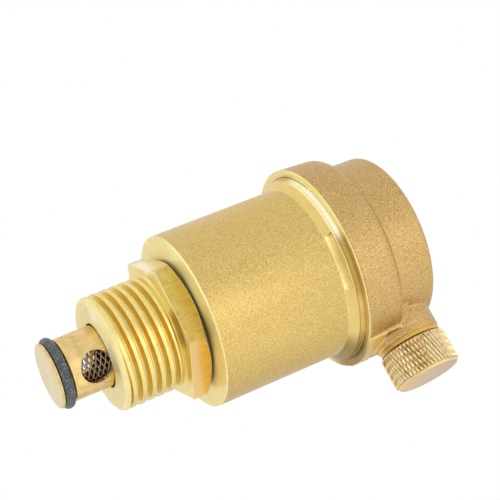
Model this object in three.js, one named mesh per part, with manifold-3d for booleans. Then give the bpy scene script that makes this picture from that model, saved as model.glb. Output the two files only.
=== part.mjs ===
// Automatic air vent: a float-operated vent head screwed onto a self-closing check valve.
// Millimetres, +Z up. The origin is on the main axis, in the plane of the hexagon's lower face.
// +X points along the side outlet.
import * as THREE from "three";
import { mergeVertices } from "three/addons/utils/BufferGeometryUtils.js";
import Module from "manifold-3d";

const wasm = await Module();
wasm.setup();

// ---------------------------------------------------------------- driving dimensions

const GAP = 0.3; // clearance between pieces that touch on the real object
const PAST = 1; // how far a cutting tool runs past the face that it cuts
const FINE = 48; // facets round a large turned piece
const MEDIUM = 32; // facets round a piece the size of the thread
const COARSE = 24; // facets round a small turned piece
const TINY = 16; // facets round a pin, a screw or a wire's cord

// Check fitting: 1/2 inch male pipe thread, neck and hexagon
const THREAD_MAJOR_R = 10.48;
const THREAD_MINOR_R = 9.32;
const THREAD_PITCH = 1.814;
const THREAD_CRESTS = 5;
const LAST_CREST_Z = -1.27;
const THREAD_END_Z = -11.8;
const THREAD_FACE_R = 10.0;
const NECK_R = 10.15;
const NECK_FROM_Z = -0.6;
const NECK_FILLET = 0.45; // the shoulder under the hexagon, wider than the crests
const HEX_CORNER_R = 13.6;
const HEX_TOP_Z = 3.9;
const HEX_TURN = THREE.MathUtils.degToRad(3.1);
const HEX_FACE_R = 11.7; // the corners are turned off outside this radius
const HEX_CHAMFER_SLOPE = Math.tan(THREE.MathUtils.degToRad(30));
const GUIDE_R = 6.05; // bore in the thread's end that guides the plunger
const SHOULDER_Z = -10.55; // the spring stands here
const FITTING_BORE_R = 7.8;
const SEAL_RECESS_R = 9.6;
const SEAL_RECESS_Z = 2.35;

// Check plunger
const DISC_FACE_Z = -21.45;
const DISC_R = 5.9;
const DISC_FACE_R = 5.65;
const DISC_BACK_Z = -21.0;
const TUBE_R = 5.65;
const TUBE_BORE_R = 4.6;
const TUBE_TOP_Z = -5.55;
const TUBE_FLOOR_Z = -17.65;
const O_RING_Z = -19.9;
const O_RING_CORD_R = 0.95;
const O_RING_MEAN_R = 5.5;
const O_RING_GROOVE_R = 4.25;
const O_RING_GROOVE_TOP_Z = -18.7;
const WINDOW_R = 2.9;
const WINDOW_Z = -14.25;
const WINDOW_TURN = THREE.MathUtils.degToRad(-56.3);
const STRAINER_R = 4.3;
const STRAINER_WALL = 0.4;
const CLIP_BOTTOM_Z = -6.85;
const CLIP_THICK = 0.6;
const CLIP_R = 7.0;
const CLIP_GROOVE_R = 5.1;
const CLIP_OPENING = THREE.MathUtils.degToRad(50);
const SPRING_WIRE_R = 0.3;
const SPRING_MEAN_R = 6.5;
const SPRING_COILS = 4;
const SPRING_WIRE_SIDES = 5;
const SPRING_STEPS_PER_COIL = 12;

// Barrel
const BARREL_R = 16.1;
const BARREL_FOOT_Z = 4.35;
const BARREL_EDGE = 0.3;
const BARREL_BORE_R = 14.1;
const BARREL_FLOOR_Z = 6.85;
const SPIGOT_R = 7.5;
const SPIGOT_BORE_R = 5.0;
const SPIGOT_END_Z = -5.25;
const COLLAR_R = 17.35;
const COLLAR_FROM_Z = 29.05;
const COLLAR_FULL_Z = 29.85;
const RIM_Z = 36.35;
const FLAT_TURN = THREE.MathUtils.degToRad(-71);
const FLAT_DISTANCE = 15.4;

// Cover
const LIP_Z = 31.35;
const LIP_R = 19.1;
const LIP_BORE_R = 17.7;
const SKIRT_R = 18.75;
const SKIRT_TOP_Z = 37.15;
const SHOULDER_R = 16.6;
const SHOULDER_TOP_Z = 39.65;
const SHOULDER_STEPS = 4;
const DOME_R = 16.35;
const COVER_TOP_Z = 47.35;
const COVER_EDGE = 1.3;
const ROOF_Z = 45.15;
const GASKET_SEAT_Z = 37.75;
const PAD_FACE_X = 19.15; // the pad's face is square to the outlet
const PAD_HALF_WIDTH = 6.2;
const PAD_FROM_Z = 31.95;

// Side outlet: boss, nozzle and cap. Their x runs out from the main axis.
const OUTLET_Z = 41.25;
const BOSS_R = 5.9;
const BOSS_ROOT_R = 6.1;
const BOSS_ROOT_X = 15.5;
const BOSS_NECK_X = 17.6;
const BOSS_END_X = 20.2;
const BOSS_BORE_R = 3.2;
const FLANGE_BORE_R = 4.5;
const FLANGE_BORE_X = 17.6;
const NOZZLE_TIP_X = 9.95;
const NOZZLE_TIP_R = 1.5;
const NOZZLE_SHANK_X = 12.0;
const NOZZLE_SHANK_R = 2.9;
const NOZZLE_FLANGE_X = 19.0;
const NOZZLE_THREAD_X = 19.9;
const NOZZLE_THREAD_R = 2.5;
const NOZZLE_END_X = 24.6;
const NOZZLE_BORE_R = 0.9;
const CAP_R = 6.42;
const CAP_FROM_X = 20.5;
const CAP_END_X = 27.05;
const CAP_FACE_R = 5.7;
const CAP_CHAMFER = 0.6;
const CAP_BORE_R = 2.8;
const CAP_FLOOR_X = 25.9;
const CAP_FLUTES = 30;
const FLUTE_DEPTH = 0.25;

// Float and lever
const FLOAT_R = 12.6;
const FLOAT_WALL = 0.9;
const FLOAT_BEVEL = 0.36;
const FLOAT_FOOT_Z = 8.95;
const FLOAT_TOP_Z = 31.75;
const FLOAT_BOSS_R = 2.4;
const FLOAT_BOSS_TOP_Z = 33.35;
const HOOK_STEM_R = 0.8;
const HOOK_STEM_Z = 29.55;
const HOOK_COLLAR_Z = 33.65;
const HOOK_NECK_Z = 34.45;
const HOOK_NECK_R = 0.5;
const HOOK_HEAD_Z = 36.6;
const HOOK_HEAD_R = 1.5;
const HOOK_TOP_Z = 37.3;
const PIVOT_X = 7.5;
const PIVOT_Z = 36.55;
const PIN_R = 0.7;
const PIN_HALF_LENGTH = 4.4;
const PIN_HOLE_R = 0.82;
const LEVER_HALF_WIDTH = 2.2;
const LEVER_THICK = 1.2;
const LEVER_HUB_R = 1.7;
const LEVER_END_X = -2.0;
const LEVER_TOP_Z = 42.75;
const LEVER_OPEN = THREE.MathUtils.degToRad(8); // the lever's turn between closed and open
const FORK_HALF_WIDTH = 0.85;
const FORK_ROOT_X = 1.0;
const LEVER_SEAL_R = 2.0;
const LEVER_SEAL_THICK = 1.4;
const EAR_Y = 2.6;
const EAR_THICK = 0.8;
const EAR_FROM_X = 5.9;
const EAR_TO_X = 9.1;
const EAR_FOOT_Z = 34.95;
const PLATE_FROM_X = -4.0;
const PLATE_THICK = 0.9;
const SCREW_X = -1.5;
const SCREW_R = 1.2;
const SCREW_HOLE_TOP_Z = 46.35;
const SCREW_HEAD_R = 2.2;
const SCREW_HEAD_HEIGHT = 1.3;

// ---------------------------------------------------------------- solids

function signedVolume(points, triangles) {
  const a = new THREE.Vector3();
  const b = new THREE.Vector3();
  const c = new THREE.Vector3();
  let volume = 0;
  for (const [i, j, k] of triangles) {
    a.fromArray(points, 3 * i);
    b.fromArray(points, 3 * j);
    c.fromArray(points, 3 * k);
    volume += a.dot(b.cross(c));
  }
  return volume;
}

// A closed three.js geometry as a manifold solid, with its faces turned outwards.
function solid(geometry) {
  const bare = geometry.clone();
  bare.deleteAttribute("normal");
  bare.deleteAttribute("uv");
  const merged = mergeVertices(bare, 1e-4);
  const points = merged.attributes.position.array;
  const index = merged.index.array;
  const triangles = [];
  for (let t = 0; t < index.length; t += 3) {
    const [i, j, k] = index.slice(t, t + 3);
    if (i !== j && j !== k && k !== i) triangles.push([i, j, k]);
  }
  const inside = signedVolume(points, triangles) < 0;
  const corners = inside ? triangles.map(([i, j, k]) => [i, k, j]) : triangles;
  return new wasm.Manifold(
    new wasm.Mesh({
      numProp: 3,
      vertProperties: new Float32Array(points),
      triVerts: new Uint32Array(corners.flat()),
    }),
  );
}

function geometryOf(shape) {
  const mesh = shape.getMesh();
  const geometry = new THREE.BufferGeometry();
  geometry.setAttribute("position", new THREE.BufferAttribute(mesh.vertProperties, 3));
  geometry.setIndex(new THREE.BufferAttribute(mesh.triVerts, 1));
  geometry.computeVertexNormals();
  return geometry;
}

// A turned solid round Z from [radius, z] points that start and end on the axis or close on themselves.
function turned(profile, facets = FINE) {
  const points = profile.map(([r, z]) => new THREE.Vector2(r, z));
  return solid(new THREE.LatheGeometry(points, facets).rotateX(Math.PI / 2));
}

function ring(inner, outer, low, high, facets = FINE) {
  return turned([[inner, low], [outer, low], [outer, high], [inner, high], [inner, low]], facets);
}

function rod(radius, low, high, facets = COARSE) {
  return turned([[0, low], [radius, low], [radius, high], [0, high]], facets);
}

// A turned solid laid along X: its own z becomes x, at the outlet's height.
function alongOutlet(shape) {
  return shape.rotate([0, 90, 0]).translate([0, 0, OUTLET_Z]);
}

function box(low, high) {
  const size = high.map((value, i) => value - low[i]);
  const middle = high.map((value, i) => (value + low[i]) / 2);
  return solid(new THREE.BoxGeometry(...size).translate(...middle));
}

function torus(meanRadius, cordRadius, z) {
  return solid(new THREE.TorusGeometry(meanRadius, cordRadius, TINY / 2, MEDIUM).translate(0, 0, z));
}

// ---------------------------------------------------------------- check valve

// The last crest runs on as a plain land to the chamfered end.
function threadProfile() {
  const points = [
    [THREAD_FACE_R, THREAD_END_Z],
    [THREAD_MAJOR_R, THREAD_END_Z + THREAD_MAJOR_R - THREAD_FACE_R],
    [THREAD_MAJOR_R, LAST_CREST_Z - THREAD_CRESTS * THREAD_PITCH],
  ];
  for (let crest = THREAD_CRESTS - 1; crest >= 0; crest -= 1) {
    const z = LAST_CREST_Z - crest * THREAD_PITCH;
    points.push([THREAD_MINOR_R, z - THREAD_PITCH / 2], [THREAD_MAJOR_R, z]);
  }
  points.push([THREAD_MINOR_R, NECK_FROM_Z], [NECK_R, NECK_FROM_Z], [NECK_R, -NECK_FILLET]);
  points.push([NECK_R + NECK_FILLET, 0], [NECK_R + NECK_FILLET, PAST]);
  return points;
}

function hexagon() {
  const prism = new THREE.CylinderGeometry(HEX_CORNER_R, HEX_CORNER_R, HEX_TOP_Z, 6);
  prism.rotateX(Math.PI / 2).rotateZ(HEX_TURN + Math.PI / 2).translate(0, 0, HEX_TOP_Z / 2);
  const reach = HEX_CORNER_R + PAST;
  const chamfered = turned([
    [0, 0],
    [reach, 0],
    [reach, HEX_TOP_Z - (reach - HEX_FACE_R) * HEX_CHAMFER_SLOPE],
    [HEX_FACE_R, HEX_TOP_Z],
    [0, HEX_TOP_Z],
  ]);
  return solid(prism).intersect(chamfered);
}

function checkFitting() {
  const shank = turned([[0, THREAD_END_Z], ...threadProfile(), [0, PAST]]);
  const bore = turned([
    [0, THREAD_END_Z - PAST],
    [GUIDE_R, THREAD_END_Z - PAST],
    [GUIDE_R, SHOULDER_Z],
    [FITTING_BORE_R, SHOULDER_Z],
    [FITTING_BORE_R, SEAL_RECESS_Z],
    [SEAL_RECESS_R, SEAL_RECESS_Z],
    [SEAL_RECESS_R, HEX_TOP_Z + PAST],
    [0, HEX_TOP_Z + PAST],
  ], MEDIUM);
  return hexagon().add(shank).subtract(bore);
}

function checkPlunger() {
  const edge = DISC_R - DISC_FACE_R;
  const groove = CLIP_BOTTOM_Z + CLIP_THICK;
  const body = turned([
    [0, DISC_FACE_Z],
    [DISC_FACE_R, DISC_FACE_Z],
    [DISC_R, DISC_FACE_Z + edge],
    [DISC_R, DISC_BACK_Z],
    [O_RING_GROOVE_R, DISC_BACK_Z],
    [O_RING_GROOVE_R, O_RING_GROOVE_TOP_Z],
    [TUBE_R, O_RING_GROOVE_TOP_Z],
    [TUBE_R, CLIP_BOTTOM_Z - GAP],
    [CLIP_GROOVE_R, CLIP_BOTTOM_Z - GAP],
    [CLIP_GROOVE_R, groove + GAP],
    [TUBE_R, groove + GAP],
    [TUBE_R, TUBE_TOP_Z],
    [TUBE_BORE_R, TUBE_TOP_Z],
    [TUBE_BORE_R, TUBE_FLOOR_Z],
    [0, TUBE_FLOOR_Z],
  ], MEDIUM);
  const drill = rod(WINDOW_R, -TUBE_R - PAST, TUBE_R + PAST)
    .rotate([0, 90, 0])
    .rotate([0, 0, THREE.MathUtils.radToDeg(WINDOW_TURN)])
    .translate([0, 0, WINDOW_Z]);
  return body.subtract(drill);
}

function springClip() {
  const inner = CLIP_GROOVE_R + GAP;
  const whole = ring(inner, CLIP_R, CLIP_BOTTOM_Z, CLIP_BOTTOM_Z + CLIP_THICK, MEDIUM);
  const reach = CLIP_R + PAST;
  const wedge = new THREE.Shape([
    new THREE.Vector2(0, 0),
    new THREE.Vector2(reach, -reach * Math.tan(CLIP_OPENING / 2)),
    new THREE.Vector2(reach, reach * Math.tan(CLIP_OPENING / 2)),
  ]);
  const cut = new THREE.ExtrudeGeometry(wedge, { depth: CLIP_THICK + 2 * PAST, bevelEnabled: false });
  return whole.subtract(solid(cut.translate(0, 0, CLIP_BOTTOM_Z - PAST)));
}

class Helix extends THREE.Curve {
  constructor(radius, low, high, turns) {
    super();
    Object.assign(this, { radius, low, high, turns });
  }

  getPoint(t, target = new THREE.Vector3()) {
    const angle = 2 * Math.PI * this.turns * t;
    const z = this.low + (this.high - this.low) * t;
    return target.set(this.radius * Math.cos(angle), this.radius * Math.sin(angle), z);
  }
}

function checkSpring() {
  const low = SHOULDER_Z + GAP + SPRING_WIRE_R;
  const high = CLIP_BOTTOM_Z - GAP - SPRING_WIRE_R;
  const wire = new THREE.Shape();
  for (let corner = 0; corner < SPRING_WIRE_SIDES; corner += 1) {
    const angle = (2 * Math.PI * corner) / SPRING_WIRE_SIDES;
    wire[corner ? "lineTo" : "moveTo"](SPRING_WIRE_R * Math.cos(angle), SPRING_WIRE_R * Math.sin(angle));
  }
  wire.closePath();
  return solid(new THREE.ExtrudeGeometry(wire, {
    steps: SPRING_STEPS_PER_COIL * SPRING_COILS,
    extrudePath: new Helix(SPRING_MEAN_R, low, high, SPRING_COILS),
  }));
}

function strainer() {
  const inner = STRAINER_R - STRAINER_WALL;
  return ring(inner, STRAINER_R, TUBE_FLOOR_Z + GAP, TUBE_TOP_Z - GAP, COARSE);
}

// ---------------------------------------------------------------- barrel and its seals

function spigotSeal() {
  const outer = SEAL_RECESS_R - GAP;
  return ring(SPIGOT_R + GAP, outer, SEAL_RECESS_Z + GAP, BARREL_FOOT_Z - GAP, MEDIUM);
}

function coverGasket() {
  const outer = LIP_BORE_R - 2 * GAP;
  return ring(BARREL_BORE_R + GAP, outer, RIM_Z + GAP, GASKET_SEAT_Z - GAP, MEDIUM);
}

function bodyBarrel() {
  const shell = turned([
    [SPIGOT_BORE_R, SPIGOT_END_Z],
    [SPIGOT_R - BARREL_EDGE, SPIGOT_END_Z],
    [SPIGOT_R, SPIGOT_END_Z + BARREL_EDGE],
    [SPIGOT_R, BARREL_FOOT_Z],
    [BARREL_R - BARREL_EDGE, BARREL_FOOT_Z],
    [BARREL_R, BARREL_FOOT_Z + BARREL_EDGE],
    [BARREL_R, COLLAR_FROM_Z],
    [COLLAR_R, COLLAR_FULL_Z],
    [COLLAR_R, RIM_Z],
    [BARREL_BORE_R, RIM_Z],
    [BARREL_BORE_R, BARREL_FLOOR_Z],
    [SPIGOT_BORE_R, BARREL_FLOOR_Z],
    [SPIGOT_BORE_R, SPIGOT_END_Z],
  ]);
  const cutter = box(
    [FLAT_DISTANCE, -BARREL_R, COLLAR_FROM_Z - GAP],
    [COLLAR_R + PAST, BARREL_R, COLLAR_FULL_Z + GAP],
  );
  return shell.subtract(cutter.rotate([0, 0, THREE.MathUtils.radToDeg(FLAT_TURN)]));
}

// ---------------------------------------------------------------- cover and outlet

function shoulderArc() {
  const points = [];
  for (let step = 0; step <= SHOULDER_STEPS; step += 1) {
    const angle = (Math.PI / 2) * (step / SHOULDER_STEPS);
    const r = SHOULDER_R + (SKIRT_R - SHOULDER_R) * Math.cos(angle);
    const z = SKIRT_TOP_Z + (SHOULDER_TOP_Z - SKIRT_TOP_Z) * Math.sin(angle);
    points.push([r, z]);
  }
  return points;
}

function boss() {
  return alongOutlet(turned([
    [0, BARREL_BORE_R],
    [BOSS_ROOT_R, BARREL_BORE_R],
    [BOSS_ROOT_R, BOSS_ROOT_X],
    [BOSS_R, BOSS_NECK_X],
    [BOSS_R, BOSS_END_X],
    [0, BOSS_END_X],
  ], MEDIUM));
}

function outletPad() {
  return box([BARREL_BORE_R, -PAD_HALF_WIDTH, PAD_FROM_Z], [PAD_FACE_X, PAD_HALF_WIDTH, OUTLET_Z]);
}

function cover() {
  const hollow = turned([
    [0, LIP_Z - PAST],
    [LIP_BORE_R, LIP_Z - PAST],
    [LIP_BORE_R, GASKET_SEAT_Z],
    [BARREL_BORE_R, GASKET_SEAT_Z],
    [BARREL_BORE_R, ROOF_Z],
    [0, ROOF_Z],
  ]);
  const outside = turned([
    [0, LIP_Z],
    [LIP_R, LIP_Z],
    ...shoulderArc(),
    [DOME_R, COVER_TOP_Z - COVER_EDGE],
    [DOME_R - COVER_EDGE, COVER_TOP_Z],
    [0, COVER_TOP_Z],
  ]);
  const nozzleHole = alongOutlet(turned([
    [0, 0],
    [BOSS_BORE_R, 0],
    [BOSS_BORE_R, FLANGE_BORE_X],
    [FLANGE_BORE_R, FLANGE_BORE_X],
    [FLANGE_BORE_R, BOSS_END_X + PAST],
    [0, BOSS_END_X + PAST],
  ], COARSE));
  const screwHole = rod(SCREW_R + GAP, ROOF_Z - PAST, SCREW_HOLE_TOP_Z, TINY).translate([SCREW_X, 0, 0]);
  return outside.add(boss()).add(outletPad()).subtract(hollow).subtract(nozzleHole).subtract(screwHole);
}

function ventNozzle() {
  return alongOutlet(turned([
    [NOZZLE_BORE_R, NOZZLE_TIP_X],
    [NOZZLE_TIP_R, NOZZLE_TIP_X],
    [NOZZLE_TIP_R, NOZZLE_SHANK_X],
    [NOZZLE_SHANK_R, NOZZLE_SHANK_X],
    [NOZZLE_SHANK_R, NOZZLE_FLANGE_X],
    [FLANGE_BORE_R - GAP, NOZZLE_FLANGE_X],
    [FLANGE_BORE_R - GAP, NOZZLE_THREAD_X],
    [NOZZLE_THREAD_R, NOZZLE_THREAD_X],
    [NOZZLE_THREAD_R, NOZZLE_END_X],
    [NOZZLE_BORE_R, NOZZLE_END_X],
    [NOZZLE_BORE_R, NOZZLE_TIP_X],
  ], COARSE));
}

function nozzleSeal() {
  const inner = NOZZLE_SHANK_R + GAP;
  return alongOutlet(ring(inner, FLANGE_BORE_R - GAP, FLANGE_BORE_X + GAP, NOZZLE_FLANGE_X - GAP, COARSE));
}

// The grip is shown as straight flutes: each one is a V-shaped cut along X.
function ventCap() {
  const body = turned([
    [CAP_BORE_R, CAP_FROM_X],
    [CAP_FACE_R, CAP_FROM_X],
    [CAP_R, CAP_FROM_X + CAP_CHAMFER],
    [CAP_R, CAP_END_X - CAP_CHAMFER],
    [CAP_FACE_R, CAP_END_X],
    [0, CAP_END_X],
    [0, CAP_FLOOR_X],
    [CAP_BORE_R, CAP_FLOOR_X],
    [CAP_BORE_R, CAP_FROM_X],
  ], 2 * CAP_FLUTES);
  const point = new THREE.Shape([
    new THREE.Vector2(CAP_R - FLUTE_DEPTH, 0),
    new THREE.Vector2(CAP_R + FLUTE_DEPTH, -2 * FLUTE_DEPTH),
    new THREE.Vector2(CAP_R + FLUTE_DEPTH, 2 * FLUTE_DEPTH),
  ]);
  const length = CAP_END_X - CAP_FROM_X - 2 * CAP_CHAMFER;
  const cutter = new THREE.ExtrudeGeometry(point, { depth: length, bevelEnabled: false });
  const flute = solid(cutter.translate(0, 0, CAP_FROM_X + CAP_CHAMFER));
  let cap = body;
  for (let i = 0; i < CAP_FLUTES; i += 1) {
    cap = cap.subtract(flute.rotate([0, 0, (360 * (i + 0.5)) / CAP_FLUTES]));
  }
  return alongOutlet(cap);
}

function capGasket() {
  return alongOutlet(rod(CAP_BORE_R - GAP, NOZZLE_END_X + GAP, CAP_FLOOR_X - GAP, COARSE));
}

// ---------------------------------------------------------------- float and lever

function float() {
  return turned([
    [FLOAT_R - FLOAT_WALL, FLOAT_FOOT_Z],
    [FLOAT_R, FLOAT_FOOT_Z],
    [FLOAT_R, FLOAT_TOP_Z - 2 * FLOAT_WALL],
    [FLOAT_R - 2 * FLOAT_WALL, FLOAT_TOP_Z],
    [FLOAT_BOSS_R, FLOAT_TOP_Z],
    [FLOAT_BOSS_R, FLOAT_BOSS_TOP_Z],
    [HOOK_STEM_R + GAP, FLOAT_BOSS_TOP_Z],
    [HOOK_STEM_R + GAP, HOOK_STEM_Z - GAP],
    [0, HOOK_STEM_Z - GAP],
    [0, HOOK_STEM_Z - GAP - FLOAT_WALL],
    [FLOAT_BOSS_R, HOOK_STEM_Z - GAP - FLOAT_WALL],
    [FLOAT_BOSS_R, FLOAT_TOP_Z - FLOAT_WALL],
    [FLOAT_R - 2 * FLOAT_WALL - FLOAT_BEVEL, FLOAT_TOP_Z - FLOAT_WALL],
    [FLOAT_R - FLOAT_WALL, FLOAT_TOP_Z - 2 * FLOAT_WALL - FLOAT_BEVEL],
    [FLOAT_R - FLOAT_WALL, FLOAT_FOOT_Z],
  ], MEDIUM);
}

function floatHook() {
  return turned([
    [0, HOOK_STEM_Z],
    [HOOK_STEM_R, HOOK_STEM_Z],
    [HOOK_STEM_R, HOOK_COLLAR_Z],
    [HOOK_HEAD_R, HOOK_COLLAR_Z],
    [HOOK_HEAD_R, HOOK_NECK_Z],
    [HOOK_NECK_R, HOOK_NECK_Z],
    [HOOK_NECK_R, HOOK_HEAD_Z],
    [HOOK_HEAD_R, HOOK_HEAD_Z],
    [HOOK_HEAD_R, HOOK_TOP_Z],
    [0, HOOK_TOP_Z],
  ], TINY);
}

function acrossPin(radius, halfLength, facets) {
  return rod(radius, -halfLength, halfLength, facets).rotate([90, 0, 0]).translate([PIVOT_X, 0, PIVOT_Z]);
}

// The lever and its pad are made closed, square to the nozzle, and then turned open about the pin.
function openLever(shape) {
  return shape
    .translate([-PIVOT_X, 0, -PIVOT_Z])
    .rotate([0, -THREE.MathUtils.radToDeg(LEVER_OPEN), 0])
    .translate([PIVOT_X, 0, PIVOT_Z]);
}

function lever() {
  const half = LEVER_THICK / 2;
  const reach = box(
    [LEVER_END_X, -LEVER_HALF_WIDTH, PIVOT_Z - half],
    [PIVOT_X, LEVER_HALF_WIDTH, PIVOT_Z + half],
  );
  const upright = box(
    [PIVOT_X - half, -LEVER_HALF_WIDTH, PIVOT_Z],
    [PIVOT_X + half, LEVER_HALF_WIDTH, LEVER_TOP_Z],
  );
  const fork = box(
    [LEVER_END_X - PAST, -FORK_HALF_WIDTH, PIVOT_Z - PAST],
    [FORK_ROOT_X, FORK_HALF_WIDTH, PIVOT_Z + PAST],
  );
  const hub = acrossPin(LEVER_HUB_R, LEVER_HALF_WIDTH, COARSE);
  const hole = acrossPin(PIN_HOLE_R, LEVER_HALF_WIDTH + PAST, COARSE);
  return openLever(reach.add(upright).add(hub).subtract(fork).subtract(hole));
}

function leverSeal() {
  const from = PIVOT_X + LEVER_THICK / 2 + GAP;
  return openLever(alongOutlet(rod(LEVER_SEAL_R, from, from + LEVER_SEAL_THICK, TINY)));
}

function leverPin() {
  return acrossPin(PIN_R, PIN_HALF_LENGTH, TINY);
}

function leverBracket() {
  const top = ROOF_Z - GAP;
  const outer = EAR_Y + EAR_THICK;
  const plate = box([PLATE_FROM_X, -outer, top - PLATE_THICK], [EAR_TO_X, outer, top]);
  const ear = box([EAR_FROM_X, EAR_Y, EAR_FOOT_Z], [EAR_TO_X, outer, top]);
  const pinHole = acrossPin(PIN_HOLE_R, outer + PAST, COARSE);
  const screwHole = rod(SCREW_R + GAP, top - PLATE_THICK - PAST, top + PAST, TINY).translate([SCREW_X, 0, 0]);
  return plate.add(ear).add(ear.mirror([0, 1, 0])).subtract(pinHole).subtract(screwHole);
}

function bracketScrew() {
  const seat = ROOF_Z - GAP - PLATE_THICK - GAP;
  const shank = rod(SCREW_R, seat - GAP, SCREW_HOLE_TOP_Z - GAP, TINY);
  const head = rod(SCREW_HEAD_R, seat - SCREW_HEAD_HEIGHT, seat, TINY);
  return shank.add(head).translate([SCREW_X, 0, 0]);
}

// ---------------------------------------------------------------- assembly

function piece(name, shape, color, roughness, metalness) {
  const material = new THREE.MeshStandardMaterial({ color, roughness, metalness });
  const mesh = new THREE.Mesh(geometryOf(shape), material);
  mesh.name = name;
  return mesh;
}

const brass = (name, shape, color = "#dcc27a", roughness = 0.3) => piece(name, shape, color, roughness, 1);
const rubber = (name, shape) => piece(name, shape, "#3b3f42", 0.75, 0);
const steel = (name, shape) => piece(name, shape, "#b9bcc0", 0.35, 1);

function group(...members) {
  const made = new THREE.Group();
  made.add(...members);
  return made;
}

const checkValve = group(
  brass("check_fitting", checkFitting(), "#e6d48a", 0.25),
  brass("check_plunger", checkPlunger(), "#d8bb80", 0.35),
  rubber("plunger_o_ring", torus(O_RING_MEAN_R, O_RING_CORD_R, O_RING_Z)),
  steel("strainer_mesh", strainer()),
  steel("spring_clip", springClip()),
  steel("check_spring", checkSpring()),
  rubber("spigot_seal", spigotSeal()),
);

const housing = group(
  brass("body_barrel", bodyBarrel(), "#d6b772", 0.5),
  brass("cover", cover(), "#c49e66", 0.6),
  rubber("cover_gasket", coverGasket()),
);

const outlet = group(
  brass("vent_nozzle", ventNozzle()),
  rubber("nozzle_seal", nozzleSeal()),
  brass("vent_cap", ventCap(), "#dcb679", 0.35),
  rubber("cap_gasket", capGasket()),
);

const floatGear = group(
  piece("float", float(), "#e9e6dc", 0.5, 0),
  steel("float_hook", floatHook()),
  steel("lever", lever()),
  rubber("lever_seal", leverSeal()),
  steel("lever_pin", leverPin()),
  steel("lever_bracket", leverBracket()),
  steel("bracket_screw", bracketScrew()),
);

export default group(checkValve, housing, outlet, floatGear);
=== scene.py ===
"""Looks of the automatic air vent: fine meshes, procedural finishes, light and camera.

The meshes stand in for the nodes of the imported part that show. Lengths are in millimetres until
mesh_object() turns them into metres. +Z is the main axis and +X the side outlet.
"""
import math

import bmesh
import bpy
import numpy as np
from mathutils import Matrix, Vector


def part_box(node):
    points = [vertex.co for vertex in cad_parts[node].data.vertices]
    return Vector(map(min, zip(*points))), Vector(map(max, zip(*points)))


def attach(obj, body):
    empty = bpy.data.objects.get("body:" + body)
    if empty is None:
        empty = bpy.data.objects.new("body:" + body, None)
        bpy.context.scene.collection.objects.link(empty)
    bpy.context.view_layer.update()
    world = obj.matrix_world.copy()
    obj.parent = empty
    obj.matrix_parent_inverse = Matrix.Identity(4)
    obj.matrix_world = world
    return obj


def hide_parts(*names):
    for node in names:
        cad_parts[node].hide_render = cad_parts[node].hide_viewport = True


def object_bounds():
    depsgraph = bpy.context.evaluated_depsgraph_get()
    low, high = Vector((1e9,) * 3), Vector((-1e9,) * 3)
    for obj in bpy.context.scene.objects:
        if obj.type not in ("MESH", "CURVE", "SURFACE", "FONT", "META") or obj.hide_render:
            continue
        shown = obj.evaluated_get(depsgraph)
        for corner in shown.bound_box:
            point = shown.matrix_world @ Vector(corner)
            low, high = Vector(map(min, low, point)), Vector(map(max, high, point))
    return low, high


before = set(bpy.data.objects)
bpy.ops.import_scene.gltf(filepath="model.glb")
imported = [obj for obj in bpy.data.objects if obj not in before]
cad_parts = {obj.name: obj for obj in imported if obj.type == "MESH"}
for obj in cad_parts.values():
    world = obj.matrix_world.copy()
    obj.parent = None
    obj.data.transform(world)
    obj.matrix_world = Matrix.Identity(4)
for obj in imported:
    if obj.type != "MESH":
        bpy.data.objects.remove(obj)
cad_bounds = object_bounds()

MM = 0.001
TAU = 2 * math.pi


def low(node, axis):
    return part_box(node)[0][axis] / MM


def high(node, axis):
    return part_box(node)[1][axis] / MM


# ---------------------------------------------------------------- sizes

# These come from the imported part, and the sizes below keep to its shape inside its boxes.
X, Z = 0, 2
THREAD_END = low("check_fitting", Z)
HEX_TOP = high("check_fitting", Z)
SPIGOT_END = low("body_barrel", Z)
RIM = high("body_barrel", Z)
LIP = low("cover", Z)
LIP_R = -low("cover", X)
BOSS_END = high("cover", X)
DISC_FACE = low("check_plunger", Z)
TUBE_TOP = high("check_plunger", Z)
DISC_R = high("check_plunger", X)
CAP_FROM = low("vent_cap", X)
CAP_END = high("vent_cap", X)
OUTLET_Z = (low("vent_cap", Z) + high("vent_cap", Z)) / 2
CAP_R = (high("vent_cap", Z) - low("vent_cap", Z)) / 2

# Pipe thread: 1/2 inch, right-handed. A plain land runs from its grooves to the chamfered end.
THREAD_MAJOR = 10.48
THREAD_MINOR = 9.32
THREAD_PITCH = 1.814
THREAD_PHASE = 0.494
CREST_SHARE = 0.34
ROOT_SHARE = 0.18
THREAD_CHAMFER = 0.8
THREAD_END_R = 9.75
THREAD_ROWS = 230
THREAD_RUN_OUT = -1.15
NECK_R = 10.15
NECK_TOP = -0.5
FITTING_BORE_R = 7.8
GUIDE_R = 5.95
SHOULDER = -10.55

# Hexagon
HEX_CORNER_R = 13.6
HEX_TURN = math.radians(3.1)
HEX_FACE_R = 11.7
HEX_CHAMFER_SLOPE = math.tan(math.radians(30))
HEX_EDGE = 0.06
# One flat is painted lighter, for the light it catches
HEX_LIT_FLAT = 5  # counted from HEX_TURN
SEAL_RECESS_R = 9.6
SEAL_RECESS = 2.35

# Barrel
BARREL_R = 16.1
BARREL_FOOT = 4.35
BARREL_BORE_R = 14.1
BARREL_FLOOR = 6.85
BARREL_COLUMNS = 360
SPIGOT_R = 7.5
SPIGOT_BORE_R = 5.0
SPIGOT_PITCH = 1.5
SPIGOT_GROOVE = 0.75
SPIGOT_CREST_SHARE = 0.2
SPIGOT_ROWS = 70
SPIGOT_RUN_OUT = 3.15
SKIN_END = 28.85
COLLAR_R = 17.45
FLAT_TURN = math.radians(-71)
FLAT_HALF_TURN = math.radians(17.5)
FLAT_DISTANCE = 15.4
FLAT_FROM = 29.05
FLAT_TO = 30.1

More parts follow.
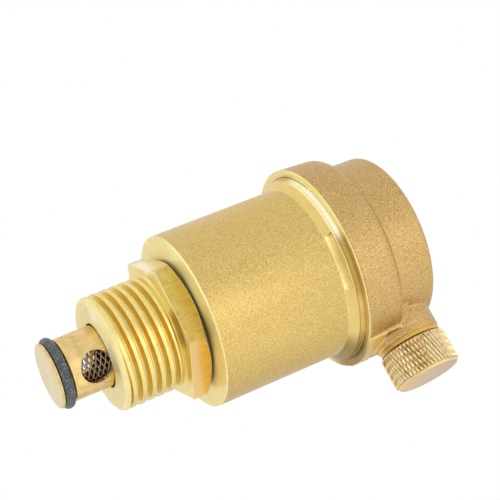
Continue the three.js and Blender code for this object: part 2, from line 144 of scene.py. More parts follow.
# Cover
LIP_BORE_R = 17.7
SKIRT_R = 18.75
SKIRT_TOP = 37.25
DOME_R = 16.35
CREASE = 39.65
CREASE_DEPTH = 0.07
CREASE_WIDTH = 0.14
COVER_TOP = 47.35
PAD_FACE = 18.3
PAD_HALF_WIDTH = 6.6
PAD_FROM = 31.45
PAD_TO = 35.5
PAD_ROOT = 14.5
BOSS_R = 5.9
BOSS_SKIN_END = 19.6
BOSS_FROM = 13
BOSS_BORE_R = 4.5
ROOT_R = 7.0
SKIN_VOXEL = 0.19
ROOF = 45.15
GASKET_SEAT = 37.75

# Cap: two families of slanted grooves make its long diamonds
CAP_BORE_R = 2.8
CAP_FLOOR = 25.9
CAP_FACE_R = 5.7
KNURL_COUNT = 52
KNURL_DEPTH = 0.38
KNURL_CREST = 0.1  # share of the way from a ridge to a groove that stays flat
KNURL_FLANK = 0.75  # and the share that slopes down from there
KNURL_END_DEPTH = 0.3
KNURL_ROWS = 120
KNURL_SLANT = math.radians(16)
KNURL_FAMILIES = ((1, 0.75, 1.0), (-1, 0.45, 0.75))  # hand, least and greatest share of the depth
KNURL_SEED = 11
KNURL_COLUMNS = 14  # columns of faces for each groove

# Plunger
TUBE_R = 5.65
TUBE_BORE_R = 4.6
TUBE_FLOOR = -17.65
WINDOW_R = 2.9
WINDOW_REACH = 8
WINDOW_Z = -14.25
WINDOW_TURN = math.radians(-56.3)
RING_Z = (low("plunger_o_ring", Z) + high("plunger_o_ring", Z)) / 2
RING_CORD_R = (high("plunger_o_ring", Z) - low("plunger_o_ring", Z)) / 2
RING_MEAN_R = high("plunger_o_ring", X) - RING_CORD_R
RING_GROOVE_R = 4.3
DISC_FACE_R = 5.62
DISC_BACK = -21.0
CLIP_GROOVE = (-7.15, -5.95)
CLIP_GROOVE_R = 5.1

# Strainer: a plain weave of slanted wires
WIRE_R = 0.1
WIRE_SIDES = 8
WIRE_COUNT = 13
WIRE_STEP = 0.07  # how far one piece of a wire rises
STRAINER_R = 4.25
WEAVE_RISE = 0.93
WEAVE_LIFT = 0.9 * WIRE_R
WEAVE_TURN = math.radians(-45)
WEAVE_Z = -15.46

FACETS = 256
BEYOND = 30  # past the side of the part, for blocks that cut right through
SHARP = math.radians(32)  # an edge that turns more than this isn't shaded smooth
WELD = 1e-7  # metres


# ---------------------------------------------------------------- meshes

def arc(centre_r, centre_z, radius, start, end, steps):
    """Points on an arc in the (radius, height) plane; angles in degrees, 0 outward and 90 up."""
    angles = np.radians(np.linspace(start, end, steps + 1))
    return [(centre_r + radius * math.cos(a), centre_z + radius * math.sin(a)) for a in angles]


def along_axis(points):
    return points


def along_outlet(points):
    """Lays a shape made round Z along the outlet: its own z becomes x."""
    x, y, z = points.T
    return np.stack([z, y, OUTLET_Z - x], axis=1)


def mesh_object(name, points, faces, place=along_axis, marks=None):
    """An object from points in millimetres; marks give each face its place in the list of finishes."""
    mesh = bpy.data.meshes.new(name)
    mesh.from_pydata((place(np.asarray(points, float)) * MM).tolist(), [], faces)
    if marks is not None:
        mesh.polygons.foreach_set("material_index", np.asarray(marks, np.int32).ravel())
    obj = bpy.data.objects.new(name, mesh)
    bpy.context.collection.objects.link(obj)
    return tidy(obj)


def tidy(obj):
    """Welds, turns the faces outwards and shades smooth between the sharp edges."""
    work = bmesh.new()
    work.from_mesh(obj.data)
    bmesh.ops.remove_doubles(work, verts=work.verts, dist=WELD)
    bmesh.ops.dissolve_degenerate(work, edges=work.edges, dist=WELD / 10)
    bmesh.ops.recalc_face_normals(work, faces=work.faces)
    work.to_mesh(obj.data)
    work.free()
    obj.data.shade_smooth()
    obj.data.set_sharp_from_angle(angle=SHARP)
    return obj


def grid(name, radii, heights, angles, place=along_axis, marks=None, closed=True):
    """A surface round Z, with radii[i, j] and heights[i, j] at angles[j].

    It closes on itself round Z and, unless closed is False, over its rows. marks give each row, or
    each row and column, its place in the list of finishes.
    """
    rows, columns = radii.shape
    x = radii * np.cos(angles)
    y = radii * np.sin(angles)
    points = np.stack([x, y, heights], axis=2).reshape(-1, 3)
    last = rows if closed else rows - 1
    i, j = np.meshgrid(np.arange(last), np.arange(columns), indexing="ij")
    up, on = (i + 1) % rows, (j + 1) % columns
    faces = np.stack([i * columns + j, i * columns + on, up * columns + on, up * columns + j], axis=2)
    face_marks = None
    if marks is not None:
        marks = np.asarray(marks)
        by_face = marks if marks.ndim == 2 else np.repeat(marks[:, None], columns, axis=1)
        face_marks = by_face[:last]
    return mesh_object(name, points, faces.reshape(-1, 4).tolist(), place, face_marks)


def rows_of(outline, columns):
    """The same outline points at every angle, as rows for grid()."""
    r, z = np.array(outline, float).T
    spread = np.ones(columns)
    return np.outer(r, spread), np.outer(z, spread)


def turned(name, outline, place=along_axis, marks=None, facets=FACETS, closed=True):
    """A turned piece from (radius, height) points; closed=False when it starts and ends on the axis."""
    r, z = rows_of(outline, facets)
    angles = np.arange(facets) * TAU / facets
    return grid(name, r, z, angles, place, marks, closed)


def modified(obj, kind, **settings):
    """Adds a modifier, applies it and tidies the result."""
    modifier = obj.modifiers.new(kind, kind)
    for key, value in settings.items():
        setattr(modifier, key, value)
    graph = bpy.context.evaluated_depsgraph_get()
    shape = obj.evaluated_get(graph)
    mesh = bpy.data.meshes.new_from_object(shape, preserve_all_data_layers=True, depsgraph=graph)
    obj.modifiers.clear()
    obj.data = mesh
    return tidy(obj)


def carve(obj, tool, operation="DIFFERENCE"):
    """Cuts the tool out of the object, or joins it on with UNION, and deletes the tool."""
    modified(obj, "BOOLEAN", object=tool, operation=operation, solver="EXACT")
    bpy.data.objects.remove(tool)
    return obj


def smooth_step(value, start, end):
    t = np.clip((value - start) / (end - start), 0, 1)
    return t * t * (3 - 2 * t)


def thread_form(height, angle, pitch, phase=0.0, crest=CREST_SHARE):
    """1 on the crest and 0 in the root of a right-handed thread; crest is a share of the pitch."""
    turn = height / pitch - angle / TAU - phase
    from_crest = np.abs((turn + 0.5) % 1 - 0.5)
    return 1 - smooth_step(from_crest, crest / 2, 0.5 - ROOT_SHARE / 2)


def towards(azimuth, elevation):
    """A direction in the part's own axes, from angles in degrees."""
    a, e = math.radians(azimuth), math.radians(elevation)
    return Vector((math.cos(e) * math.cos(a), math.cos(e) * math.sin(a), math.sin(e)))


def shaded(colour, factors):
    return [min(1, c * k) for c, k in zip(colour, factors)]


# ---------------------------------------------------------------- node trees

class Nodes:
    """Short ways to build a node tree."""

    def __init__(self, tree):
        self.nodes = tree.nodes
        self.links = tree.links

    def add(self, kind, inputs=None, **settings):
        node = self.nodes.new(kind)
        for key, value in settings.items():
            setattr(node, key, value)
        for key, value in (inputs or {}).items():
            if isinstance(value, bpy.types.NodeSocket):
                self.links.new(value, node.inputs[key])
            else:
                node.inputs[key].default_value = value
        return node

    def math(self, operation, a, b=0.0):
        return self.add("ShaderNodeMath", {0: a, 1: b}, operation=operation).outputs[0]

    def vectors(self, operation, a, b=(0, 0, 0)):
        return self.add("ShaderNodeVectorMath", {0: a, 1: b}, operation=operation).outputs

    def spread(self, value, at_start, at_end, start=0.3, end=0.7, steps="LINEAR"):
        """Carries a value over from start..end to at_start..at_end, and holds it at the ends."""
        keys = ("Value", "From Min", "From Max", "To Min", "To Max")
        inputs = dict(zip(keys, (value, start, end, at_start, at_end)))
        return self.add("ShaderNodeMapRange", inputs, interpolation_type=steps).outputs["Result"]

    def lobe(self, direction, middle, full, gone, most=1):
        """most where direction is within full degrees of middle, falling to 0 at gone degrees."""
        facing = self.vectors("DOT_PRODUCT", direction, middle)["Value"]
        limits = [math.cos(math.radians(angle)) for angle in (gone, full)]
        return self.spread(facing, 0, most, *limits, "SMOOTHSTEP")


class Finish(Nodes):
    """A node material with a Principled surface, and short ways to add procedural detail."""

    def __init__(self, name, colour, roughness, metallic=1.0):
        self.material = bpy.data.materials.new(name)
        self.material.use_nodes = True
        super().__init__(self.material.node_tree)
        self.surface = self.nodes["Principled BSDF"]
        self.surface.inputs["Base Color"].default_value = (*colour, 1)
        self.surface.inputs["Roughness"].default_value = roughness
        self.surface.inputs["Metallic"].default_value = metallic
        self.colour = colour
        self.roughness = roughness
        self.place = self.add("ShaderNodeTexCoord").outputs["Object"]

    def along(self, axis):
        """Distance along an axis in millimetres."""
        metres = self.add("ShaderNodeSeparateXYZ", {0: self.place}).outputs[axis]
        return self.math("MULTIPLY", metres, 1 / MM)

    def scaled(self, factors, shift=(0, 0, 0)):
        """The place on the part, moved back by shift and then multiplied by factors."""
        moved = self.vectors("SUBTRACT", self.place, shift)["Vector"]
        return self.vectors("MULTIPLY", moved, factors)["Vector"]

    def noise(self, size_mm, detail=2.0, stretch=(1, 1, 1)):
        """Noise between 0 and 1 with features of about that size."""
        where = self.scaled([1 / (MM * size_mm * s) for s in stretch])
        settings = {"Vector": where, "Scale": 1.0, "Detail": detail, "Roughness": 0.5}
        return self.add("ShaderNodeTexNoise", settings).outputs["Fac"]

    def rings(self, size_mm, outlet=False):
        """Fine noise that is the same all the way round the axis, as a cutting tool leaves it."""
        position = self.math("ADD", self.radius(outlet), self.along("X" if outlet else "Z"))
        where = self.math("MULTIPLY", position, 1 / size_mm)
        settings = {"W": where, "Scale": 1.0, "Detail": 3.0, "Roughness": 0.6}
        return self.add("ShaderNodeTexNoise", settings, noise_dimensions="1D").outputs["Fac"]

    def radius(self, outlet=False):
        """Distance from the main axis, or from the outlet's axis, in millimetres."""
        keep = (0, 1, 1) if outlet else (1, 1, 0)
        shift = (0, 0, OUTLET_Z * MM) if outlet else (0, 0, 0)
        where = self.scaled([k / MM for k in keep], shift)
        return self.vectors("LENGTH", where)["Value"]

    def near(self, azimuth, full, gone):
        """1 within full degrees of an azimuth round the main axis, falling to 0 at gone degrees."""
        outward = self.vectors("NORMALIZE", self.scaled((1, 1, 0)))["Vector"]
        return self.lobe(outward, towards(azimuth, 0), full, gone)

    def between(self, factor, first, second):
        """The first colour where factor is 0, and the second where it is 1."""
        mix = self.add("ShaderNodeMix", {"Factor": factor}, data_type="RGBA")
        for key, value in (("A", first), ("B", second)):
            if isinstance(value, bpy.types.NodeSocket):
                self.links.new(value, mix.inputs[key])
            else:
                mix.inputs[key].default_value = (*value, 1)
        return mix.outputs["Result"]

    def tint(self, value, dark, light, start=0.3, end=0.7):
        """Two shades of the base colour, mixed by value; dark and light multiply it."""
        factor = self.spread(value, 0, 1, start, end)
        return self.between(factor, shaded(self.colour, dark), shaded(self.colour, light))

    def bump(self, value, depth_mm):
        inputs = {"Height": value, "Distance": depth_mm * MM, "Strength": 1.0}
        return self.add("ShaderNodeBump", inputs).outputs["Normal"]

    def use(self, **sockets):
        for key, value in sockets.items():
            self.links.new(value, self.surface.inputs[key.replace("_", " ")])
        return self.material

    def skin(self, tone, pattern, depth_mm, smoother=0.05, rougher=0.08):
        """Sets the tone, and gives the roughness and the height one pattern."""
        sheen = self.spread(pattern, self.roughness - smoother, self.roughness + rougher)
        return self.use(Base_Color=tone, Roughness=sheen, Normal=self.bump(pattern, depth_mm))


# ---------------------------------------------------------------- finishes

# Tones that several finishes share. The first is a plain tone that also serves as a painted highlight,
# the second a painted highlight, the third a painted dark reflection and the last painted shade.
PALE = (0.95, 0.88, 0.60)
HIGHLIGHT_CREAM = (1.0, 0.96, 0.72)
DARK_REFLECTION = (0.50, 0.33, 0.09)
SHADE = (0.34, 0.22, 0.06)

# Places round the main axis where painted light goes: the thread's painted reflection and the flats'
# painted highlight. In degrees: an azimuth, and how far from it a tone is full and gone.
THREAD_REFLECTION = (-72, 8, 24)
FLATS_HIGHLIGHT = (-150, 12, 34)


def machined(name, colour, roughness, outlet=False, depth_mm=0.004, cloud=0.93, metallic=1.0):
    """Turned metal: fine tool lines round the axis, and a faint cloudy tone.

    A metallic value below 1 stands for a faced surface whose fine lines scatter the light widely.
    """
    f = Finish(name, colour, roughness, metallic)
    tone = f.tint(f.noise(3.0), (cloud, cloud * 0.98, cloud * 0.93), (1.03, 1.03, 1.04))
    return f.skin(tone, f.rings(0.16, outlet), depth_mm)


def threaded(name, colour, roughness, groove, reflection_tone, line):
    """Cut thread: crests in the base colour, and grooves painted paler, as painted reflection,
    with a painted orange reflection at one side.

    A thin dark line of painted shade runs along each edge of the crests and along the root.
    """
    f = Finish(name, colour, roughness)
    radius = f.radius()
    crest = THREAD_MAJOR - 0.12
    deep = f.spread(radius, 1, 0, THREAD_MINOR, crest)
    # The grooves are painted paler, and orange round one azimuth, as painted reflection
    tone = f.between(deep, colour, f.between(f.near(*THREAD_REFLECTION), groove, reflection_tone))
    # Thin dark lines of painted shade along the edges of the crests and in the root
    for start, end in ((crest - 0.26, crest), (THREAD_MINOR - 0.1, THREAD_MINOR + 0.1)):
        middle = (start + end) / 2
        rise = f.spread(radius, 0, 1, start, middle)
        fall = f.spread(radius, 0.6, 0, middle, end)
        tone = f.between(f.math("MULTIPLY", rise, fall), tone, line)
    clouds = f.spread(f.noise(1.2, 2), 0, 0.5)
    tone = f.between(clouds, tone, shaded(colour, (0.84, 0.82, 0.70)))
    return f.skin(tone, f.rings(0.12), 0.006)


def banded(name, colour, roughness, places, metallic=1.0):
    """Turned metal with painted highlights and painted shade round the axis: (azimuth, full, gone,
    colour) at each place.
    """
    f = Finish(name, colour, roughness, metallic)
    tone = f.tint(f.noise(2.0), (0.95, 0.94, 0.90), (1.03, 1.03, 1.04))
    for azimuth, full, gone, there in places:
        tone = f.between(f.near(azimuth, full, gone), tone, there)
    return f.skin(tone, f.rings(0.14), 0.004)


def knurled(name, colour, roughness, groove):
    """Knurled brass: bright diamonds, and grooves painted dark as painted shade, darker in some patches.
    """
    f = Finish(name, colour, roughness)
    limits = (CAP_R - KNURL_DEPTH * 0.85, CAP_R - KNURL_DEPTH * 0.12)
    deep = f.spread(f.radius(outlet=True), 1, 0, *limits)
    patches = f.noise(0.6, 3)
    # Painted shade: the grooves turn dark, more in some patches than in others
    groove_shade = f.math("MULTIPLY", deep, f.spread(patches, 0.45, 1.1))
    diamonds = f.tint(patches, (0.88, 0.82, 0.74), (1.16, 1.16, 1.2))
    tone = f.between(groove_shade, diamonds, groove)
    return f.use(Base_Color=tone, Normal=f.bump(f.noise(0.2, 2), 0.015))


def fading(name, colour, roughness, far):
    """The cap's turned face: its tone fades along Z."""
    f = Finish(name, colour, roughness)
    across = f.spread(f.along("Z"), 0, 1, OUTLET_Z - CAP_R, OUTLET_Z + CAP_R * 0.6)
    tone = f.between(across, colour, far)
    return f.skin(tone, f.rings(0.16, outlet=True), 0.002, rougher=0.06)


def drawn(name, colour, roughness, lit_flat=None):
    """Drawn flats: streaks along Z, patches of stain and a painted highlight round one azimuth;
    or, for the flat painted lighter for the light it catches, a pinkish patch near its low end.
    """
    f = Finish(name, colour, roughness)
    streaks = f.noise(0.35, 3, (1, 1, 7))
    patches = f.noise(1.3, 3, (1, 1, 1.4))
    tone = f.tint(streaks, (0.90, 0.88, 0.82), (1.06, 1.06, 1.06), 0.35, 0.65)
    # One flat is painted lighter for the light it catches, with a pinkish patch near its low end
    if lit_flat:
        edge = f.math("ADD", f.along("Z"), f.spread(patches, -0.35, 0.35))
        tone = f.between(f.spread(edge, 0, 1, 1.2, 2.3, "SMOOTHSTEP"), lit_flat, tone)
    else:
        stain = shaded(colour, (0.86, 0.78, 0.60))
        tone = f.between(f.spread(patches, 0, 1, 0.50, 0.68), tone, stain)
        # Painted highlight: the flats round one azimuth turn pale
        tone = f.between(f.near(*FLATS_HIGHLIGHT), tone, PALE)
    return f.skin(tone, streaks, 0.010, smoother=0.06, rougher=0.12)


def grainy(name, colour, roughness, grain_mm, depth_mm, dark, light):
    """Blasted or sand-cast skin: fine pits, each a little darker, over a slow change of tone."""
    f = Finish(name, colour, roughness)
    grain = f.noise(grain_mm, 1)
    coarse = f.noise(grain_mm * 2.2, 1)
    clouds = f.noise(9.0, 2)
    both = f.math("ADD", f.math("MULTIPLY", grain, 0.65), f.math("MULTIPLY", coarse, 0.35))
    return f.use(
        Base_Color=f.tint(grain, dark, light, 0.36, 0.64),
        Roughness=f.spread(clouds, roughness - 0.04, roughness + 0.05),
        Normal=f.bump(both, depth_mm),
    )


def mottled(name, colour, roughness):
    """Turned brass that has tarnished in soft patches."""
    f = Finish(name, colour, roughness)
    patches = f.noise(1.4, 3)
    lines = f.rings(0.3)
    return f.use(
        Base_Color=f.tint(patches, (0.80, 0.84, 0.86), (1.08, 1.04, 1.0), 0.36, 0.64),
        Roughness=f.spread(patches, roughness + 0.08, roughness - 0.04),
        Normal=f.bump(lines, 0.002),
    )


def rubber(name, colour, roughness):
    """Nitrile rubber with pale dust in fine scratches."""
    f = Finish(name, colour, roughness, metallic=0.0)
    scratches = f.noise(1.5, 2)
    thread = f.math("ABSOLUTE", f.math("SUBTRACT", scratches, 0.5))
    skin = f.noise(0.35, 3)
    tone = f.tint(skin, (0.70, 0.70, 0.72), (1.6, 1.6, 1.55))
    dust = f.between(f.spread(thread, 0.55, 0.0, 0.0, 0.018), tone, (0.42, 0.42, 0.40))
    return f.use(
        Base_Color=dust,
        Roughness=f.spread(skin, roughness - 0.08, roughness + 0.12),
        Normal=f.bump(scratches, 0.03),
    )


def moulded(name, colour, roughness):
    """Moulded plastic: an even, slightly orange-peel skin."""
    f = Finish(name, colour, roughness, metallic=0.0)
    tone = f.tint(f.noise(5.0), (0.96, 0.96, 0.95), (1.02, 1.02, 1.02))
    return f.skin(tone, f.noise(0.6, 2), 0.01, smoother=0.04, rougher=0.06)


def rolled(name, colour, roughness):
    """Pressed steel sheet and drawn wire: short rolling streaks."""
    f = Finish(name, colour, roughness)
    streaks = f.noise(0.12, 3, (12, 1, 1))
    tone = f.tint(streaks, (0.90, 0.90, 0.91), (1.06, 1.06, 1.06))
    return f.skin(tone, streaks, 0.004, smoother=0.06, rougher=0.10)


FINISHES = {
    "bright": machined("bright_brass", (0.92, 0.71, 0.24), 0.26),
    "bright_outlet": machined("bright_outlet", (0.74, 0.52, 0.15), 0.28, outlet=True, depth_mm=0.01),
    "pad": machined("pad_brass", (0.80, 0.57, 0.17), 0.38, outlet=True, metallic=0.5),
    "pale": machined("pale_brass", PALE, 0.34, metallic=0.8),
    # Thread: the paler grooves and their orange side are painted reflection, the dark lines painted shade
    "thread": threaded(
        "thread_brass", (0.90, 0.73, 0.27), 0.27,
        groove=(0.96, 0.80, 0.36), reflection_tone=(0.98, 0.72, 0.22), line=(0.40, 0.26, 0.05)),
    "chamfer": machined("chamfer_brass", (0.94, 0.80, 0.38), 0.3, depth_mm=0.008, metallic=0.8),
    # Shoulder: painted highlight at -112 and a painted dark reflection at -68
    "shoulder": banded(
        "shoulder_brass", (0.86, 0.66, 0.22), 0.3,
        [(-112, 16, 34, (1.0, 0.90, 0.42)), (-68, 8, 22, DARK_REFLECTION)]),
    # Hexagon's underside: painted highlight at -118
    "under": banded(
        "under_brass", (0.90, 0.76, 0.34), 0.34, [(-118, 22, 44, (1.0, 0.98, 0.66))], metallic=0.7),
    # Thread's end face: painted highlight at -94
    "faced": banded(
        "faced_brass", (0.88, 0.75, 0.37), 0.42, [(-94, 20, 45, (1.0, 0.94, 0.58))], metallic=0.4),
    "disc": machined("disc_brass", (0.79, 0.68, 0.43), 0.38, depth_mm=0.002, cloud=0.97),
    # Barrel's foot: painted highlight at -103
    "foot": banded(
        "foot_brass", (0.90, 0.75, 0.31), 0.36, [(-103, 14, 34, (1.0, 0.90, 0.44))], metallic=0.5),
    # Collar: painted shade at 8
    "collar": banded("collar_brass", (0.82, 0.62, 0.215), 0.28, [(8, 8, 32, SHADE)]),
    "flat": machined("flat_brass", (1.0, 0.86, 0.45), 0.36, metallic=0.7),
    # Bead: painted highlight at -112 and painted shade at 8
    "bead": banded(
        "bead_brass", (0.80, 0.60, 0.24), 0.28,
        [(-112, 18, 34, (1.0, 0.96, 0.62)), (8, 8, 32, SHADE)]),
    # Band: painted highlight at -112, a painted dark reflection at -66 and painted shade at 8
    "band": banded(
        "band_brass", (0.72, 0.50, 0.18), 0.30,
        [(-112, 20, 36, HIGHLIGHT_CREAM), (-66, 12, 22, DARK_REFLECTION), (8, 8, 36, SHADE)]),
    # Lip: painted highlight at -114 and painted shade at 10
    "lip": banded(
        "lip_brass", (0.86, 0.70, 0.32), 0.32,
        [(-114, 18, 36, (0.98, 0.84, 0.34)), (10, 8, 34, SHADE)], metallic=0.85),
    # Lip's bore chamfer: painted shadow at -146 and painted shade at 5
    "lip_edge": banded(
        "lip_edge_brass", (0.98, 0.88, 0.52), 0.3,
        [(-146, 14, 26, (0.16, 0.11, 0.04)), (5, 10, 30, SHADE)]),
    # Hexagon flats: a painted highlight in the pale tone round -150
    "drawn": drawn("drawn_brass", (0.68, 0.50, 0.135), 0.34),
    # The one hexagon flat painted lighter for the light it catches, pinkish near its low end
    "lit_flat": drawn("lit_flat_brass", (0.92, 0.58, 0.13), 0.36, lit_flat=(0.82, 0.58, 0.25)),
    "blasted": grainy(
        "blasted_brass", (0.70, 0.505, 0.178), 0.29,
        grain_mm=0.17, depth_mm=0.06, dark=(0.75, 0.70, 0.60), light=(1.16, 1.17, 1.20)),
    "cast": grainy(
        "cast_brass", (0.575, 0.385, 0.15), 0.37,
        grain_mm=0.165, depth_mm=0.065, dark=(0.69, 0.65, 0.57), light=(1.27, 1.28, 1.36)),
    "tube": mottled("tube_brass", (0.82, 0.60, 0.25), 0.30),
    # Dark brass as painted shade: the plunger's hollow, and the hexagon's top face, seal recess and bore
    "bore": machined("painted_shade_brass", (0.20, 0.13, 0.06), 0.6),
    # Knurl: the dark groove tone is painted shade
    "cap": knurled("cap_brass", (1.0, 0.81, 0.46), 0.19, groove=(0.38, 0.21, 0.07)),
    "cap_edge": machined("cap_edge_brass", (0.86, 0.62, 0.32), 0.28, outlet=True),
    "cap_face": fading("cap_face_brass", (0.90, 0.60, 0.26), 0.30, far=(0.64, 0.48, 0.33)),
    "rubber": rubber("rubber", (0.055, 0.060, 0.066), 0.45),
    "steel": rolled("steel", (0.62, 0.62, 0.64), 0.28),
    "wire": rolled("wire", (0.54, 0.42, 0.30), 0.48),
    "plastic": moulded("plastic", (0.8, 0.78, 0.7), 0.45),
}


def dress(obj, body, node, slot, *finishes):
    """Puts the finishes on a piece, makes it ride its body and stand for its CAD node."""
    for finish in finishes:
        obj.data.materials.append(FINISHES[finish])
    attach(obj, body)
    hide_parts(node)
    return obj


# ---------------------------------------------------------------- check valve

def fitting_thread():
    """The threaded shank with its chamfered end, the bore, the neck and the shoulder."""
    angles = np.arange(FACETS) * TAU / FACETS
    rise = np.linspace(THREAD_END, NECK_TOP, THREAD_ROWS)
    height, angle = np.meshgrid(rise, angles, indexing="ij")
    from_end = height - THREAD_END
    land = np.interp(from_end, (0, 0.35, THREAD_CHAMFER), (THREAD_END_R, 10.3, THREAD_MAJOR - 0.03))
    starts = smooth_step(from_end, THREAD_CHAMFER + 0.05, THREAD_CHAMFER + 0.45)
    ends = 1 - smooth_step(height, THREAD_RUN_OUT, THREAD_RUN_OUT + 0.3)
    groove = (1 - thread_form(height, angle, THREAD_PITCH, THREAD_PHASE)) * starts * ends
    neck = smooth_step(height, THREAD_RUN_OUT, THREAD_RUN_OUT + 0.4)
    outer = land + (NECK_R - THREAD_MAJOR) * neck - (THREAD_MAJOR - THREAD_MINOR) * groove
    flare = [
        (0.05, -0.44), (0.02, -0.40), (0.12, -0.3), (0.35, -0.16), (0.7, -0.07), (1.5, -0.02), (1.5, 0.3),
    ]
    shoulder = [(NECK_R + out, z) for out, z in flare]
    inner = [
        (FITTING_BORE_R, 0.3), (FITTING_BORE_R, SHOULDER), (GUIDE_R, SHOULDER),
        (GUIDE_R, THREAD_END + 0.15), (GUIDE_R + 0.15, THREAD_END),
    ]
    rest_r, rest_z = rows_of(shoulder + inner, FACETS)
    finishes = ("thread", "faced", "shoulder", "bright", "chamfer")
    thread, faced, under, bore, chamfer = range(len(finishes))
    marks = [chamfer if z < THREAD_END + THREAD_CHAMFER else thread for z in rise]
    marks += [under] * len(shoulder) + [bore] * (len(inner) - 1) + [faced]
    r = np.vstack([outer, rest_r])
    z = np.vstack([height, rest_z])
    obj = grid("fitting_thread", r, z, angles, marks=marks)
    return dress(obj, "check_valve", "check_fitting", "machined_brass", *finishes)


def fitting_hexagon():
    """The hexagon: its top corners are turned off, which leaves an arc on each flat."""
    per_side = 40
    turns = np.arange(6 * per_side) / per_side
    within = (turns % 1 - 0.5) * TAU / 6
    angles = HEX_TURN + turns * TAU / 6
    side = HEX_CORNER_R * math.cos(TAU / 12) / np.cos(within)
    flat = np.ones_like(side)
    brow = HEX_TOP - np.maximum((side - HEX_FACE_R) * HEX_CHAMFER_SLOPE, HEX_EDGE)
    rows = [
        (side - HEX_EDGE, 0 * flat), (side, HEX_EDGE * flat),
        (side, brow - HEX_EDGE), (side - HEX_EDGE / 2, brow),
        (np.minimum(side - HEX_EDGE, HEX_FACE_R), HEX_TOP * flat),
        (SEAL_RECESS_R * flat, HEX_TOP * flat), (SEAL_RECESS_R * flat, SEAL_RECESS * flat),
        (FITTING_BORE_R * flat, SEAL_RECESS * flat), (FITTING_BORE_R * flat, 0.0 * flat),
    ]
    r = np.array([row[0] for row in rows])
    z = np.array([row[1] for row in rows])
    finishes = ("pale", "drawn", "lit_flat", "under", "bore")
    chamfer, side_finish, lit_flat_side, under, bore = range(len(finishes))
    marks = np.full(r.shape, chamfer)
    # One flat takes the finish painted lighter for the light it catches
    marks[1] = np.where(turns.astype(int) == HEX_LIT_FLAT, lit_flat_side, side_finish)
    marks[[0, -1]] = under
    # The top face, the seal recess and the bore take dark brass: painted shade for the gap under the
    # barrel and the hollow
    marks[4:-1] = bore
    obj = grid("fitting_hexagon", r, z, angles, marks=marks)
    return dress(obj, "check_valve", "check_fitting", "machined_brass", *finishes)


def plunger():
    """The hollow plunger with its end disc, the O-ring and clip grooves and the cross-drilled window."""
    groove_top = RING_Z + RING_CORD_R + 0.15
    low_groove, high_groove = CLIP_GROOVE
    face = [(0, DISC_FACE), (DISC_FACE_R, DISC_FACE)]
    body = [
        *arc(DISC_R - 0.22, DISC_FACE + 0.22, 0.2, -80, 0, 4),
        (DISC_R, DISC_FACE + 0.26), (DISC_R, DISC_BACK), (RING_GROOVE_R, DISC_BACK),
        (RING_GROOVE_R, groove_top), (TUBE_R - 0.12, groove_top), (TUBE_R, groove_top + 0.12),
        (TUBE_R, low_groove), (CLIP_GROOVE_R, low_groove),
        (CLIP_GROOVE_R, high_groove), (TUBE_R, high_groove), (TUBE_R, TUBE_TOP),
    ]
    hollow = [(TUBE_BORE_R, TUBE_TOP), (TUBE_BORE_R, TUBE_FLOOR), (0, TUBE_FLOOR)]
    finishes = ("tube", "disc", "bore")
    tube, disc, bore = range(len(finishes))
    # The hollow takes dark brass as painted shade
    marks = [disc] * len(face) + [tube] * len(body) + [bore] * len(hollow)
    obj = turned("plunger_tube", face + body + hollow, marks=marks, closed=False)
    drill_outline = [
        (0, -WINDOW_REACH), (WINDOW_R, -WINDOW_REACH), (WINDOW_R, WINDOW_REACH), (0, WINDOW_REACH),
    ]
    drill = turned("drill", drill_outline, facets=96, closed=False)
    lay = Matrix.Rotation(WINDOW_TURN, 4, "Z") @ Matrix.Rotation(TAU / 4, 4, "Y")
    drill.data.transform(Matrix.Translation((0, 0, WINDOW_Z * MM)) @ lay)
    for finish in finishes:
        obj.data.materials.append(FINISHES[finish])
    carve(obj, drill)
    return dress(obj, "plunger", "check_plunger", "plunger_brass")


def o_ring():
    """The O-ring of the plunger: a round cord closed on itself."""
    obj = turned("o_ring", arc(RING_MEAN_R, RING_Z, RING_CORD_R, 0, 345, 23))
    return dress(obj, "plunger", "plunger_o_ring", "black_rubber", "rubber")


def wire_tube(points):
    """Points and faces of a round wire along a list of points, with flat ends."""
    sides = WIRE_SIDES
    points = np.asarray(points, float)
    along = np.gradient(points, axis=0)
    along /= np.linalg.norm(along, axis=1)[:, None]
    outward = points * (1, 1, 0)
    outward -= along * np.sum(outward * along, axis=1)[:, None]
    outward /= np.linalg.norm(outward, axis=1)[:, None]
    across = np.cross(along, outward)
    turn = np.arange(sides) * TAU / sides
    ring = outward[:, None] * np.cos(turn)[None, :, None] + across[:, None] * np.sin(turn)[None, :, None]
    body = (points[:, None] + WIRE_R * ring).reshape(-1, 3)
    faces = []
    for i in range(len(points) - 1):
        for j in range(sides):
            k = (j + 1) % sides
            faces.append((i * sides + j, i * sides + k, (i + 1) * sides + k, (i + 1) * sides + j))
    faces.append(tuple(range(sides)))
    faces.append(tuple(range(len(body) - sides, len(body))))
    return body, faces


def strainer():
    """Woven wire: two families of helices that pass over and under each other."""
    points, faces = [], []
    z = np.arange(TUBE_FLOOR + 0.2, TUBE_TOP - 0.4, WIRE_STEP)
    turned_by = TAU * (z - WEAVE_Z) / (WIRE_COUNT * WEAVE_RISE)
    weave = np.cos(WIRE_COUNT * turned_by)
    for hand in (1, -1):
        for i in range(WIRE_COUNT):
            angle = WEAVE_TURN + TAU * i / WIRE_COUNT + hand * turned_by
            r = STRAINER_R + hand * WEAVE_LIFT * weave
            body, sides = wire_tube(np.stack([r * np.cos(angle), r * np.sin(angle), z], axis=1))
            faces += [tuple(v + len(points) for v in face) for face in sides]
            points += body.tolist()
    obj = mesh_object("strainer_wires", points, faces)
    return dress(obj, "plunger", "strainer_mesh", "strainer_wire", "wire")


# ---------------------------------------------------------------- barrel

BARREL_FINISHES = ("bright", "blasted", "collar", "band", "foot", "flat", "bead")


